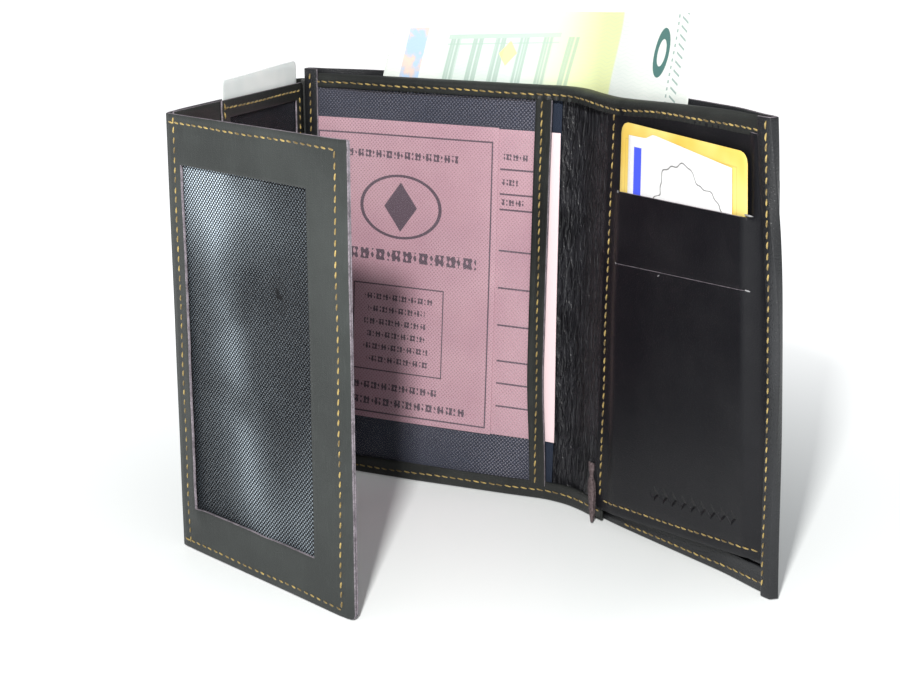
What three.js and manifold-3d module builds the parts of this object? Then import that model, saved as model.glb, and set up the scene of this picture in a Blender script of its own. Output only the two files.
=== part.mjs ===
// A bifold wallet that stands open on its lower edges: two covers joined by a soft spine,
// and a second, double leaf that folds out from the left edge of the back cover.
// Millimetres, +Z up. The inner face of the back cover looks towards -Y.
import * as THREE from 'three';
import { mergeVertices } from 'three/addons/utils/BufferGeometryUtils.js';
import Module from 'manifold-3d';

const wasm = await Module();
wasm.setup();

// ---- driving dimensions -------------------------------------------------------------
const COVER_HEIGHT = 142.3;
const BACK_WIDTH = 104.3;        // spine corner to the left edge of the back cover
const FRONT_WIDTH = 105;         // spine corner to the free edge of the front cover
const LEAF_HEIGHT = 137.5;
const LEAF_1_WIDTH = 93.2;       // inner faces, fold to fold
const LEAF_2_WIDTH = 84;
const FRONT_OPEN = 150.2;        // angles between inner faces as the wallet stands, in degrees
const LEAF_1_OPEN = 80.2;
const LEAF_2_OPEN = 117.4;
const SPINE_BEND = 6;            // reach of the soft bend to each side of the spine corner
const GAP = 0.3;                 // clearance kept between pieces that touch

// Depths of the layers of the covers, counted outwards from the inner face.
const LEATHER = 0.9;
const MESH = [1.2, 1.5];
const PAPER = [1.8, 2.6];
const POCKET_BACK = [2.9, 3.2];
const DIVIDER = [3.5, 4.3];
const NOTE = [5.0, 5.2];
const LINING = [5.9, 6.2];
const SHELL = [6.5, 7.7];
const FRONT_DIVIDER = [1.2, 2.0];

const BAND_BOTTOM = 135.6;       // the leather band that binds the top of the inner side
const BAND_TOP = 140.9;
const BAND_CAP = 139.2;
const THREAD = 0.3;

const rad = THREE.MathUtils.degToRad;

// ---- materials ------------------------------------------------------------------------
const finish = (color, roughness) => new THREE.MeshStandardMaterial({ color, roughness, metalness: 0 });
const smoothLeather = () => finish(0x232520, 0.45);
const shellLeather = () => finish(0x1a1b18, 0.5);
const grainLeather = () => finish(0x1c1b19, 0.4);
const navyFabric = () => finish(0x1b2233, 0.8);
const meshFabric = () => finish(0x1d2536, 0.55);
const liningFabric = () => finish(0x15171a, 0.85);
const goldThread = () => finish(0xb08a3e, 0.6);
const brownLeather = () => finish(0x3a2a2b, 0.6);
const pinkPaper = () => finish(0xc08f98, 0.8);
const paleNote = () => finish(0xd5dcc4, 0.8);
const yellowCard = () => finish(0xe2b558, 0.4);
const whiteCard = () => finish(0xe6e6e8, 0.5);

// ---- building blocks ------------------------------------------------------------------
const named = (name, geometry, material) => {
  const mesh = new THREE.Mesh(geometry, material);
  mesh.name = name;
  return mesh;
};

// A box between two corners.
const block = (x, y, z) => {
  const geometry = new THREE.BoxGeometry(x[1] - x[0], y[1] - y[0], z[1] - z[0]);
  return geometry.translate((x[0] + x[1]) / 2, (y[0] + y[1]) / 2, (z[0] + z[1]) / 2);
};

// An outline seen from above, raised between two heights.
const upright = (outline, z) => {
  const shape = new THREE.Shape(outline.map(([x, y]) => new THREE.Vector2(x, y)));
  const geometry = new THREE.ExtrudeGeometry(shape, { depth: z[1] - z[0], bevelEnabled: false });
  return geometry.translate(0, 0, z[0]);
};

// A flat outline in the X-Z plane (a Shape, perhaps with holes), with its thickness along Y.
const panel = (shape, y) => {
  const geometry = new THREE.ExtrudeGeometry(shape, { depth: y[1] - y[0], bevelEnabled: false });
  return geometry.rotateX(Math.PI / 2).translate(0, y[1], 0);
};

const rectangle = (x, z) => new THREE.Shape([
  new THREE.Vector2(x[0], z[0]), new THREE.Vector2(x[1], z[0]),
  new THREE.Vector2(x[1], z[1]), new THREE.Vector2(x[0], z[1]),
]);

// A rectangle with a smaller rectangle cut out of it.
const frame = (x, z, holeX, holeZ) => {
  const shape = rectangle(x, z);
  shape.holes.push(rectangle(holeX, holeZ));
  return shape;
};

const roundedCard = (x, z, radius) => {
  const shape = new THREE.Shape();
  shape.moveTo(x[0] + radius, z[0]);
  shape.absarc(x[1] - radius, z[0] + radius, radius, -Math.PI / 2, 0);
  shape.absarc(x[1] - radius, z[1] - radius, radius, 0, Math.PI / 2);
  shape.absarc(x[0] + radius, z[1] - radius, radius, Math.PI / 2, Math.PI);
  shape.absarc(x[0] + radius, z[0] + radius, radius, Math.PI, 1.5 * Math.PI);
  return shape;
};

// One thread, as a thin closed ring just in front of the leather it sews.
const threadRing = (x, z, y) => panel(
  frame(x, z, [x[0] + THREAD, x[1] - THREAD], [z[0] + THREAD, z[1] - THREAD]), y);

// Part of a ring seen from above, between two radii and two angles.
const sector = (centre, radii, angles, z, steps = 6) => {
  const along = (radius, from, to) => Array.from({ length: steps + 1 }, (_, i) => {
    const angle = from + ((to - from) * i) / steps;
    return [centre[0] + radius * Math.cos(angle), centre[1] + radius * Math.sin(angle)];
  });
  return upright([...along(radii[1], angles[0], angles[1]), ...along(radii[0], angles[1], angles[0])], z);
};

const solid = (geometry) => {
  const plain = geometry.index ? geometry.toNonIndexed() : geometry.clone();
  plain.deleteAttribute('normal');
  plain.deleteAttribute('uv');
  const merged = mergeVertices(plain, 1e-4);
  return new wasm.Manifold(new wasm.Mesh({
    numProp: 3,
    vertProperties: new Float32Array(merged.attributes.position.array),
    triVerts: new Uint32Array(merged.index.array),
  }));
};

const surface = (body) => {
  const mesh = body.getMesh();
  const geometry = new THREE.BufferGeometry();
  geometry.setAttribute('position', new THREE.BufferAttribute(mesh.vertProperties, 3));
  geometry.setIndex(new THREE.BufferAttribute(mesh.triVerts, 1));
  geometry.computeVertexNormals();
  return geometry;
};

const joined = (...parts) => surface(parts.map(solid).reduce((a, b) => a.add(b)));
const cut = (base, ...tools) => surface(tools.map(solid).reduce((a, b) => a.subtract(b), solid(base)));

// ---- the spine bend ---------------------------------------------------------------------
// Seen from above the inner face turns on one arc that touches both covers.
const turn = rad(180 - FRONT_OPEN);
const bendRadius = SPINE_BEND / Math.tan(turn / 2);
const bendCentre = [-SPINE_BEND, -bendRadius];
const spineStrip = (depth, z) => {
  const slack = GAP / bendRadius;
  return sector(bendCentre, [bendRadius + depth[0], bendRadius + depth[1]],
    [Math.PI / 2 - turn + slack, Math.PI / 2 - slack], z);
};

// ---- back cover: the fixed side of the wallet --------------------------------------------
const backEnd = -SPINE_BEND - GAP;         // where the flat layers stop before the bend
const innerLeft = -BACK_WIDTH + 0.4;
const shellLeft = -BACK_WIDTH - 0.9;
const backCover = () => {
  const group = new THREE.Group();
  const lip = 1.5;
  const rimInner = -BACK_WIDTH - 0.1;
  group.add(named('shell_back', joined(
    block([shellLeft, backEnd], SHELL, [0, COVER_HEIGHT]),
    block([shellLeft, rimInner], [3.8, SHELL[1]], [0, COVER_HEIGHT]),
    block([shellLeft, backEnd], [DIVIDER[1] + GAP, SHELL[1]], [0, lip]),
  ), shellLeather()));
  group.add(named('lining_back', block([innerLeft, backEnd], LINING, [2, 140.5]), liningFabric()));
  group.add(named('divider_back', block([innerLeft, backEnd], DIVIDER, [0.4, 138.9]), grainLeather()));
  group.add(named('document_pocket_back', block([innerLeft, backEnd], POCKET_BACK, [2, 138.9]), navyFabric()));
  group.add(named('document_window_mesh', block([innerLeft, -8], MESH, [2, 138.9]), meshFabric()));

  // The leather frame round the mesh window: band, hem, side bar and the strip at the mouth.
  group.add(named('top_band_back', joined(
    block([innerLeft, backEnd], [0, LEATHER], [BAND_BOTTOM, BAND_TOP]),
    block([innerLeft, backEnd], [0.5, DIVIDER[1] + GAP], [BAND_CAP, BAND_TOP]),
  ), smoothLeather()));
  group.add(named('bottom_hem_back', block([innerLeft, backEnd], [0, LEATHER], [0, 5.5]), smoothLeather()));
  group.add(named('left_bar', block([innerLeft, -98.5], [0, LEATHER], [5.8, 135.3]), smoothLeather()));
  group.add(named('mouth_strip', block([-12, -5], [0, LEATHER], [5.8, 135.3]), smoothLeather()));

  // The threads that sew the frame.
  const onFace = [-GAP - THREAD, -GAP];
  group.add(named('thread_document_frame', threadRing([-101.4, -8.4], [2.2, 137.6], onFace), goldThread()));
  return group;
};

// ---- spine: soft strips that bend as the cover turns --------------------------------------
const spine = () => {
  const group = new THREE.Group();
  group.add(named('shell_spine', spineStrip(SHELL, [0, COVER_HEIGHT]), shellLeather()));
  group.add(named('lining_spine', spineStrip(LINING, [2, 140.5]), liningFabric()));
  group.add(named('divider_spine', spineStrip(DIVIDER, [0.4, 138.9]), grainLeather()));
  group.add(named('top_band_spine', joined(
    spineStrip([0, LEATHER], [BAND_BOTTOM, BAND_TOP]),
    spineStrip([0.5, DIVIDER[1] + GAP], [BAND_CAP, BAND_TOP]),
  ), smoothLeather()));
  return group;
};

// ---- front cover: built flat along +X from the spine corner, then turned open ---------------
const frontStart = SPINE_BEND + GAP;
const panelStart = 21.5;
const panelEnd = FRONT_WIDTH - 1;
const slots = { left: 28, right: 95.6, upper: 112, lower: 90.5 };
const bulge = [-3.3, -2.4];       // the lower part of the card panel stands over the cards
const frontCover = () => {
  const group = new THREE.Group();
  group.rotation.z = -turn;
  const lip = 1.5;
  const hemDepth = [5.3, SHELL[1]];
  group.add(named('shell_front', joined(
    block([frontStart, FRONT_WIDTH], SHELL, [0, COVER_HEIGHT]),
    block([panelEnd + GAP, FRONT_WIDTH], [1, SHELL[1]], [0, COVER_HEIGHT]),
    block([frontStart, FRONT_WIDTH], hemDepth, [0, lip]),
  ), shellLeather()));
  group.add(named('lining_front', block([frontStart, panelEnd], LINING, [2, 140.5]), liningFabric()));
  group.add(named('divider_front', upright([
    [frontStart, DIVIDER[0]], [panelStart, FRONT_DIVIDER[0]], [panelEnd, FRONT_DIVIDER[0]],
    [panelEnd, FRONT_DIVIDER[1]], [panelStart, FRONT_DIVIDER[1]], [frontStart, DIVIDER[1]],
  ], [3, 138.9]), grainLeather()));
  group.add(named('top_band_front', joined(
    block([frontStart, panelEnd], [0, LEATHER], [BAND_BOTTOM, BAND_TOP]),
    block([frontStart, panelEnd], [0.5, DIVIDER[1]], [BAND_CAP, BAND_TOP]),
  ), smoothLeather()));

  // The card panel: flat at its sewn sides and above the upper slit, raised below it.
  const { left, right, upper, lower } = slots;
  const ramp = 3;
  const raised = upright([
    [panelStart, 0], [left - ramp, 0], [left, bulge[0]], [right + 2, bulge[0]], [right + 2 + ramp, 0],
    [panelEnd, 0], [panelEnd, LEATHER], [right + 2 + ramp, LEATHER], [right + 2, bulge[1]],
    [left, bulge[1]], [left - ramp, LEATHER], [panelStart, LEATHER],
  ], [3.4, upper]);
  const flat = block([panelStart, panelEnd], [0, LEATHER], [upper - 0.5, BAND_BOTTOM - GAP]);
  const lowerSlit = block([left + 0.5, right], [bulge[0] - 0.2, bulge[1] + 0.2], [lower - 0.2, lower + 0.2]);
  group.add(named('card_panel', cut(joined(raised, flat), lowerSlit), smoothLeather()));
  const liningSpan = [left + 0.8, right - 0.4];
  group.add(named('upper_slot_lining', block(liningSpan, [0, 0.3], [50, upper - 1]), liningFabric()));
  group.add(named('lower_slot_lining', block(liningSpan, [0.6, 0.9], [18, upper - 1]), liningFabric()));

  // A narrow leather tag hangs at the foot of the spine, its free end along the ground.
  const tagSpan = [11.7, 15.7];
  group.add(named('spine_tag', joined(
    block(tagSpan, [1, 1.8], [0.3, 16.6]),
    block(tagSpan, [-6, 1.8], [0.3, 1.1]),
  ), brownLeather()));

  const onFace = [-GAP - THREAD, -GAP];
  const threadLeft = block([23.7, 24], onFace, [9, 134]);
  const threadRight = block([102.3, 102.6], onFace, [4, BAND_TOP]);
  const threadTop = block([23.7, 102.6], onFace, [137.2, 137.5]);
  group.add(named('thread_card_panel', joined(threadLeft, threadRight, threadTop,
    block([23.7, 24], onFace, [133, 137.5])), goldThread()));
  group.add(named('thread_shell_hem', block([30, 102], [hemDepth[0] - GAP - THREAD, hemDepth[0] - GAP],
    [1, 1.3]), goldThread()));
  return group;
};

// ---- leaf 1 and leaf 2: the double leaf -----------------------------------------------------
// Each is built flat along +X from its fold, inner face on Y = 0, thickness towards -Y.
const LEAF_1_DEPTH = 3.2;
const LEAF_2_DEPTH = 2.3;
const leafRoot = 0.5;
const tallLeaf = () => [0.2, LEAF_HEIGHT];
const leaf1 = () => {
  const group = new THREE.Group();
  const pocketEnd = 57.5;
  const tall = tallLeaf();
  group.add(named('leaf_1_outer', block([leafRoot, LEAF_1_WIDTH - leafRoot], [-LEAF_1_DEPTH, -2.3], tall),
    smoothLeather()));
  group.add(named('leaf_1_inner', block([pocketEnd + GAP, LEAF_1_WIDTH - leafRoot], [-1.9, -1.1], tall),
    smoothLeather()));
  group.add(named('leaf_1_pocket_frame', panel(frame([leafRoot, pocketEnd], [0.2, LEAF_HEIGHT],
    [6, pocketEnd - 6], [7, 130.4]), [-0.8, 0]), smoothLeather()));
  group.add(named('leaf_1_pocket_mesh', block([leafRoot, pocketEnd], [-1.4, -1.1], [1, 134]), meshFabric()));
  group.add(named('thread_leaf_1', threadRing([2.5, 56], [3, 134], [GAP, GAP + THREAD]), goldThread()));
  return group;
};

const leaf2 = () => {
  const group = new THREE.Group();
  const window = { x: [7.1, 66.9], z: [14.4, 122.5] };
  group.add(named('leaf_2_frame', panel(frame([leafRoot, LEAF_2_WIDTH], [0.2, LEAF_HEIGHT],
    window.x, window.z), [-LEAF_2_DEPTH, -LEAF_2_DEPTH + LEATHER]), smoothLeather()));
  group.add(named('leaf_2_window_mesh', block([leafRoot + 1, LEAF_2_WIDTH - 1], [-1.1, -0.8], [1, 136.5]),
    meshFabric()));
  group.add(named('leaf_2_backing', block([leafRoot, LEAF_2_WIDTH], [-0.5, 0], tallLeaf()), smoothLeather()));
  group.add(named('thread_leaf_2', threadRing([3.4, 79.4], [2.4, 134.6],
    [-LEAF_2_DEPTH - GAP - THREAD, -LEAF_2_DEPTH - GAP]), goldThread()));
  return group;
};
// A soft fold between two end faces, seen from above as part of a ring round the fold line.
const fold = (radii, angles) => {
  const slack = GAP / radii[0] / 1.5;
  return sector([0, 0], radii, [angles[0] + slack, angles[1] - slack], tallLeaf(), 8);
};

// ---- contents: what the wallet holds ---------------------------------------------------------
const documentPaper = () => upright([
  [-100.3, PAPER[0]], [-26.3, PAPER[0]], [-26.3, 2.2], [-3.4, 2.2], [-3.4, PAPER[1]], [-100.3, PAPER[1]],
], [20, 126]);

// The banknote stands in the bill compartment and follows the bend of the spine.
const noteLeft = 69;
const noteRight = 51;
const banknote = () => {
  const steps = 6;
  const edge = (depth) => Array.from({ length: steps + 1 }, (_, i) => {
    const angle = Math.PI / 2 - (turn * i) / steps;
    const radius = bendRadius + depth;
    return [bendCentre[0] + radius * Math.cos(angle), bendCentre[1] + radius * Math.sin(angle)];
  });
  const end = (depth) => [
    noteRight * Math.cos(-turn) + depth * Math.sin(turn),
    noteRight * Math.sin(-turn) + depth * Math.cos(turn),
  ];
  const front = [[-noteLeft, NOTE[0]], ...edge(NOTE[0]), end(NOTE[0])];
  const back = [end(NOTE[1]), ...edge(NOTE[1]).reverse(), [-noteLeft, NOTE[1]]];
  return upright([...front, ...back].reverse(), [106, 168]);
};

// ---- the whole wallet -------------------------------------------------------------------------
const wallet = new THREE.Group();
wallet.add(backCover(), spine());

const front = frontCover();
front.add(named('yellow_card', panel(roundedCard([29.6, 93.2], [57, 133], 3.2), [-1.5, -0.9]), yellowCard()));
front.add(named('paper_tag', panel(roundedCard([31.5, 88], [70, 129], 1.5), [-2.1, -1.8]), whiteCard()));
wallet.add(front);

const leaf1Group = leaf1();
leaf1Group.add(named('white_card', panel(roundedCard([0.8, 54.4], [59.5, 145], 3.2), [-2, -1.7]), whiteCard()));
leaf1Group.position.set(-BACK_WIDTH, 0, 0);
leaf1Group.rotation.z = -rad(LEAF_1_OPEN);
const leaf2Group = leaf2();
leaf2Group.position.set(LEAF_1_WIDTH, 0, 0);
leaf2Group.rotation.z = rad(180 - LEAF_2_OPEN);
leaf1Group.add(leaf2Group);

// The soft folds: one joins leaf 1 to the back cover, the other leaf 2 to leaf 1.
const leaf1Fold = named('leaf_1_fold', fold([0.6, LEAF_1_DEPTH], [Math.PI / 2, rad(270 - LEAF_1_OPEN)]),
  smoothLeather());
leaf1Fold.position.set(-BACK_WIDTH, 0, 0);
const leaf2Fold = named('leaf_2_fold', fold([0.6, LEAF_2_DEPTH], [-Math.PI / 2, -rad(LEAF_2_OPEN - 90)]),
  smoothLeather());
leaf2Fold.position.set(LEAF_1_WIDTH, 0, 0);
leaf1Group.add(leaf2Fold);
wallet.add(leaf1Group, leaf1Fold);

wallet.add(named('document', documentPaper(), pinkPaper()));
wallet.add(named('banknote', banknote(), paleNote()));

// The origin is the middle of the footprint, on the ground.
const extent = new THREE.Box3().setFromObject(wallet, true);
wallet.position.set(-(extent.min.x + extent.max.x) / 2, -(extent.min.y + extent.max.y) / 2, -extent.min.z);

export default wallet;
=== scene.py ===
import math

import bpy
from mathutils import Matrix, Vector, noise


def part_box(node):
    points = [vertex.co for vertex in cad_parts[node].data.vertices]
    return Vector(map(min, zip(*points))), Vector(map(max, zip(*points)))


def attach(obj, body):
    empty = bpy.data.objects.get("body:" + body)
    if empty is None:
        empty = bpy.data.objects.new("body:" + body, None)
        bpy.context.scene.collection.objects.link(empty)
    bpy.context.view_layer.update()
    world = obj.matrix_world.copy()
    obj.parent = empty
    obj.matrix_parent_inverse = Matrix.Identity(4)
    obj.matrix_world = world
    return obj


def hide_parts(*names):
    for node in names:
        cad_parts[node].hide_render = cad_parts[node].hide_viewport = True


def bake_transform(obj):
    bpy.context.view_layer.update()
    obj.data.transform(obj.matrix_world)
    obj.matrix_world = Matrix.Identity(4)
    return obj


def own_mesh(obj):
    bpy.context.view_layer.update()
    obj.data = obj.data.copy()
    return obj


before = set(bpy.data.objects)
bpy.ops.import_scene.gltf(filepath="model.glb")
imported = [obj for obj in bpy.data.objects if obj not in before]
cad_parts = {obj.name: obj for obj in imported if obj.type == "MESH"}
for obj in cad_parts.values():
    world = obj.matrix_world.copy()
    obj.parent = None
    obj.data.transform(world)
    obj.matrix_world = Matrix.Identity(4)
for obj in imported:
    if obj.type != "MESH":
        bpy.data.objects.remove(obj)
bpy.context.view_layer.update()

# ---- The table and the light ----
# The wallet stands on a white table in a bright room. One lamp shines from in front and
# above. Places are in millimetres from the foot of the spine, where the covers meet.
MM = 0.001
SPINE = Vector((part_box("divider_back")[1].x / MM + 6.3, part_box("left_bar")[0].y / MM, 0))


def on_table(x, y, z):
    return (Vector((x, y, z)) + SPINE) * MM


camera_data = bpy.data.cameras.new("camera")
camera_data.lens = 71.15
camera_data.clip_start = 0.02
camera = bpy.data.objects.new("camera", camera_data)
bpy.context.scene.collection.objects.link(camera)
bpy.context.scene.camera = camera
pitch, yaw, roll = math.radians(14.04), math.radians(30.0), math.radians(-0.25)
forward = Vector((-math.sin(yaw) * math.cos(pitch), math.cos(yaw) * math.cos(pitch), -math.sin(pitch)))
level = Vector((math.cos(yaw), math.sin(yaw), 0))
above = level.cross(forward)
right = level * math.cos(roll) + above * math.sin(roll)
up = above * math.cos(roll) - level * math.sin(roll)
turned = Matrix((right, up, -forward)).transposed()
camera.matrix_world = Matrix.Translation(on_table(250.9, -513.6, 201.2)) @ turned.to_4x4()

bpy.ops.object.select_all(action="DESELECT")
bpy.ops.mesh.primitive_plane_add(size=8, location=(0, 0, -0.0003))
table = bpy.context.object
table.name = "table"
# The table glows: its emission is painted light, 0.05 near the table's centre where the wallet stands,
# rising to 0.8 between 6 and 36 cm from it, so the far table shows white.
white = bpy.data.materials.new("glowing white table")
white.use_nodes = True
far = white.node_tree
board = far.nodes["Principled BSDF"]
middle = far.nodes.new("ShaderNodeTexCoord")
away = far.nodes.new("ShaderNodeVectorMath")
away.operation = "LENGTH"
painted_table_glow = far.nodes.new("ShaderNodeMapRange")
for node, name, value in (
        (board, "Base Color", (0.93, 0.965, 0.97, 1)), (board, "Roughness", 0.35),
        (board, "Specular IOR Level", 0.12), (board, "Emission Strength", 1),
        (painted_table_glow, "From Min", 0.06), (painted_table_glow, "From Max", 0.36), (painted_table_glow, "To Min", 0.05), (painted_table_glow, "To Max", 0.8)):
    node.inputs[name].default_value = value
far.links.new(middle.outputs["Object"], away.inputs[0])
far.links.new(away.outputs["Value"], painted_table_glow.inputs["Value"])
far.links.new(painted_table_glow.outputs[0], board.inputs["Emission Color"])
table.data.materials.append(white)

world = bpy.data.worlds.new("bright room")
bpy.context.scene.world = world
world.use_nodes = True
room = world.node_tree
walls = room.nodes["Background"]
backdrop = room.nodes.new("ShaderNodeBackground")
for node, tint, strength in ((walls, (0.96, 0.985, 1, 1), 0.34), (backdrop, (1, 1, 1, 1), 1.05)):
    node.inputs["Color"].default_value = tint
    node.inputs["Strength"].default_value = strength
seen = room.nodes.new("ShaderNodeLightPath")
either = room.nodes.new("ShaderNodeMixShader")
room.links.new(seen.outputs["Is Camera Ray"], either.inputs[0])
room.links.new(walls.outputs[0], either.inputs[1])
room.links.new(backdrop.outputs[0], either.inputs[2])
room.links.new(either.outputs[0], room.nodes["World Output"].inputs["Surface"])
bpy.context.scene.view_settings.view_transform = "Standard"

lamp_data = bpy.data.lights.new("lamp", "AREA")
lamp_data.size = 0.04
lamp_data.energy = 5.8
lamp_data.color = (1, 0.985, 0.96)
lamp = bpy.data.objects.new("lamp", lamp_data)
bpy.context.scene.collection.objects.link(lamp)
lamp.location = on_table(205, -584, 400)
lamp.rotation_euler = (on_table(20, -30, 50) - lamp.location).to_track_quat("-Z", "Y").to_euler()

# ---- Outer shell ----
# One piece of soft dark leather makes both covers and the spine. Every panel is cut flat on
# the bench: s runs along it, t is its depth outwards from the inner side, z its height, in
# millimetres. Paths then lay it round the wallet. All layers are pressed together at the
# sewn edges, and the shell's two ends are turned in over them and sewn down.
BACK_WIDTH, FRONT_WIDTH, COVER_HEIGHT = 104.3, 105.0, 142.3
SHELL_FACE, SEWN_FACE = 6.3, 3.0       # depth of its inner side, in the middle and at its edges
LEAN = 5.07                            # the foot of the spine stands this far left of its top
TWIST = (26.1, 33.4)                   # turn of the front cover, at its foot and its top
EDGE_ROLL, STRIP_FACE = 1.12, 0.75


def bell(distance, width):
    return math.exp(-(distance / width) ** 2)


def ease(x):
    x = min(max(x, 0), 1)
    return x * x * (3 - 2 * x)


def ripple(s, z, size, seed=0):
    return noise.noise(Vector((s / size, z / size, seed * 7.3)))


def flat_vector(degrees):
    return Vector((math.cos(math.radians(degrees)), math.sin(math.radians(degrees))))


def round_corner(corner, before, after, outward, reach, s, t):
    """The point at s along a path that turns at a corner, t outwards from its inner side."""
    turn = before.angle(after)
    if s < -reach:
        return corner + before * s + outward * t
    if s > reach:
        outward_after = outward * math.cos(turn) + before * math.sin(turn)
        return corner + after * s + outward_after * t
    radius = reach / math.tan(turn / 2)
    angle = turn * (s + reach) / (2 * reach)
    centre = corner - before * reach - outward * radius
    return centre + (outward * math.cos(angle) + before * math.sin(angle)) * (radius + t)


def lean(s, z):
    """The foot of the back cover stands left of its top, but its left edge is upright."""
    return Vector((-LEAN * (1 - z / 140) * ease((s + BACK_WIDTH) / 22), 0))


def foot_bow(s, z):
    """The back cover's foot stands further forward towards its free side."""
    low = max(0, 1 - z / 105) ** 2
    return low * (1.6 * bell(s - 2, 16) - 4.5 * ease((-s - 6) / 75) * ease((s + BACK_WIDTH) / 26))


def pressed(s, z):
    from_side = max(0, (BACK_WIDTH - 3 + s) if s < 0 else (FRONT_WIDTH - 3.5 - s))
    swell = ease(from_side / 24) * (0.45 + 0.55 * ease(z / 28))
    return (SEWN_FACE + (SHELL_FACE - SEWN_FACE) * swell) / SHELL_FACE


def cover_path(s, t, z):
    """Back cover (s below 0), spine and front cover (s above 0)."""
    turn = TWIST[0] + (TWIST[1] - TWIST[0]) * z / COVER_HEIGHT
    depth = t * pressed(s, z) if t > 0 else t
    depth += foot_bow(s, z)
    return round_corner(lean(s, z), Vector((1, 0)), flat_vector(-turn), Vector((0, 1)), 7, s, depth)


def bench_sheet(name, s, z, depth, step=2.0, lines_s=(), lines_z=()):
    """A flat sheet on the bench, in cells of about one step, with cell edges on given lines."""
    bpy.ops.object.select_all(action="DESELECT")
    columns = max(2, round((s[1] - s[0]) / step))
    rows = max(2, round((z[1] - z[0]) / step))
    bpy.ops.mesh.primitive_grid_add(x_subdivisions=columns, y_subdivisions=rows, size=1,
                                    rotation=(math.pi / 2, 0, 0))
    piece = bpy.context.object
    piece.name = piece.data.name = name
    piece.scale = (s[1] - s[0], z[1] - z[0], 1)
    piece.location = ((s[0] + s[1]) / 2, depth, (z[0] + z[1]) / 2)
    bpy.ops.object.transform_apply(location=True, rotation=True, scale=True)
    for axis, lines, low, size, count in ((0, lines_s, s[0], s[1] - s[0], columns),
                                          (2, lines_z, z[0], z[1] - z[0], rows)):
        for line in lines:
            nearest = low + round((line - low) / size * count) * size / count
            for vertex in piece.data.vertices:
                if abs(vertex.co[axis] - nearest) < 0.01:
                    vertex.co[axis] = line
    flat = piece.data.uv_layers[0]
    flat.name = "flat"
    for loop in piece.data.loops:
        co = piece.data.vertices[loop.vertex_index].co
        flat.data[loop.index].uv = (co.x / 100, co.z / 100)
    return piece


def shape(piece, move):
    """Moves every vertex of a piece on the bench by a rule."""
    for vertex in piece.data.vertices:
        vertex.co = move(*vertex.co)
    return piece


def lay(piece, path):
    """Takes a flat piece off the bench and lays it along a path on the wallet."""
    for vertex in piece.data.vertices:
        s, t, z = vertex.co
        place = path(s, t, z)
        vertex.co = on_table(place.x, place.y, z)
    if path is not cover_path:
        piece.data.flip_normals()
    return piece


def thicken(piece, thickness, edge=0.25, rim=0):
    """Gives a laid sheet its thickness, outwards from its inner face, and softens its edges."""
    wall = piece.modifiers.new("thickness", "SOLIDIFY")
    wall.thickness = thickness * MM
    wall.offset = -1
    wall.use_even_offset = True
    wall.material_offset_rim = rim
    soft = piece.modifiers.new("edge", "BEVEL")
    soft.width = edge * MM
    soft.segments = 2
    soft.limit_method = "ANGLE"
    soft.angle_limit = math.radians(55)
    bpy.ops.object.select_all(action="DESELECT")
    piece.select_set(True)
    bpy.context.view_layer.objects.active = piece
    bpy.ops.object.modifier_apply(modifier="thickness")
    bpy.ops.object.modifier_apply(modifier="edge")
    bpy.ops.object.shade_smooth_by_angle(angle=math.radians(50))
    return piece


def dress(piece, slot, *materials):
    piece.data.materials.clear()
    for material in materials:
        piece.data.materials.append(material)


def fit(piece, path, thickness, edge, slot, *materials):
    """Lays a shaped sheet on its path with its thickness and materials. A second one is its rim's."""
    lay(piece, path)
    dress(piece, slot, *materials)
    return thicken(piece, thickness, edge, rim=len(materials) - 1)


# A surface is an expression on values: a value adds its own maths nodes as it is used.
class Value:
    def __init__(self, paint, socket):
        self.paint, self.socket = paint, socket

    def maths(self, operation, *others):
        inputs = {0: self, **{i + 1: other for i, other in enumerate(others)}}
        return self.paint.add("ShaderNodeMath", {"operation": operation}, inputs)

    def __add__(self, other):
        return self.maths("ADD", other)

    def __mul__(self, other):
        return self.maths("MULTIPLY", other)

    def __sub__(self, other):
        return self.maths("SUBTRACT", other)

    def __truediv__(self, other):
        return self.maths("DIVIDE", other)

    def __rsub__(self, other):
        return self * -1 + other

    def __rtruediv__(self, other):
        return self.maths("POWER", -1.0) * other

    __radd__, __rmul__ = __add__, __mul__

    def above(self, limit):
        return self.maths("GREATER_THAN", limit)

    def below(self, limit):
        return self.maths("LESS_THAN", limit)

    def between(self, low, high):
        return self.above(low) * self.below(high)

    def wave(self):
        return self.maths("SINE")

    def size(self):
        return self.maths("ABSOLUTE")

    def part(self, whole):
        return self.maths("FLOORED_MODULO", whole)

    def fade(self, low, high):
        ramp = {"interpolation_type": "SMOOTHSTEP", "clamp": True}
        ends = {"Value": self, "From Min": low, "From Max": high}
        return self.paint.add("ShaderNodeMapRange", ramp, ends)


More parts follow.
